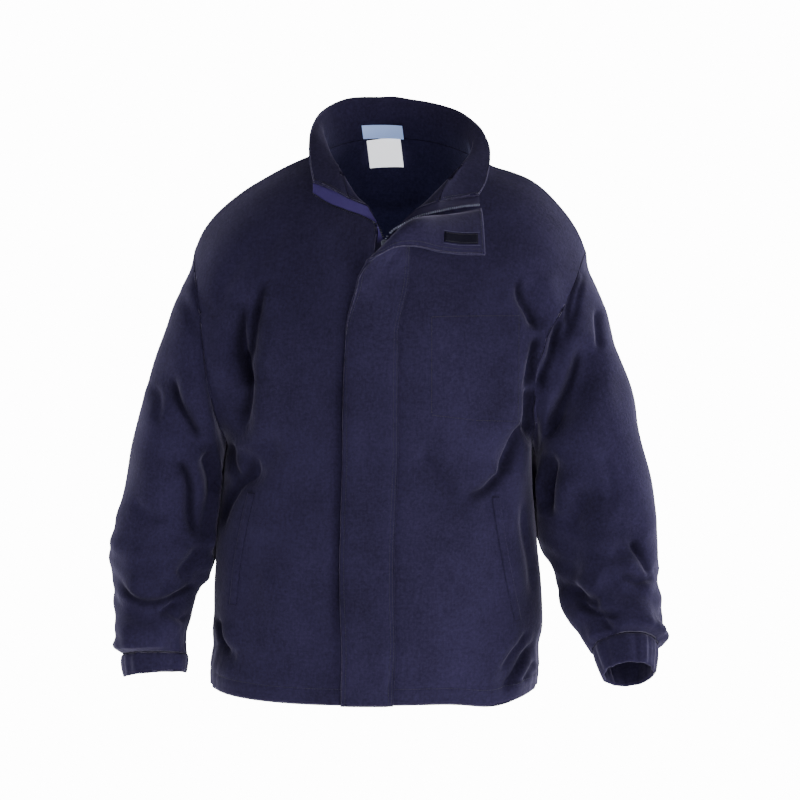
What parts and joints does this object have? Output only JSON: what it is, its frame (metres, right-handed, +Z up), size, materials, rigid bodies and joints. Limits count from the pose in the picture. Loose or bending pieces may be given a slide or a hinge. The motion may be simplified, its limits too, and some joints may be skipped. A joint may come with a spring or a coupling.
{
  "type": "fleece zip jacket",
  "caption": "Hollow fleece jacket in its worn form, with a stand collar spread open, a storm flap over a front zip, elastic cuffs and open hem.",
  "frame": {"origin": "midway between the neck points of the shoulders, in line with the shoulder seams, where the wearer carries it", "axes": "+Z up, the fronts face -Y, +X towards the wearer's left"},
  "size_m": [0.7394, 0.3189, 0.7958],
  "materials": {
    "fleece": "brushed pile, matt",
    "blue_tape": "woven tape",
    "navy_tape": "woven tape",
    "zip_metal": "dark nickel",
    "hook_tape": "hook tape",
    "label": "satin ribbon"
  },
  "bodies": {
    "garment": {"front_right": "fleece", "front_left": "fleece", "back": "fleece", "sleeve_right": "fleece", "sleeve_left": "fleece", "cuff_right": "fleece", "cuff_left": "fleece", "collar": "fleece", "storm_flap": "fleece", "welt_right": "fleece", "welt_left": "fleece", "zip_tape_right": "blue_tape", "zip_tape_left": "navy_tape", "zip_chain": "zip_metal", "teeth_right": "zip_metal", "teeth_left": "zip_metal", "zip_slider": "zip_metal", "hook_patch": "hook_tape", "neck_label": "label", "care_label": "label"},
    "pull_tab": {"zip_pull": "zip_metal"}
  },
  "joints": [
    {"name": "pull_hinge", "type": "hinge", "parent": "garment", "child": "pull_tab", "pos_m": [-0.00961, -0.13468, -0.09778], "axis": [-1, 0, 0], "range_deg": [0, 25]}
  ]
}
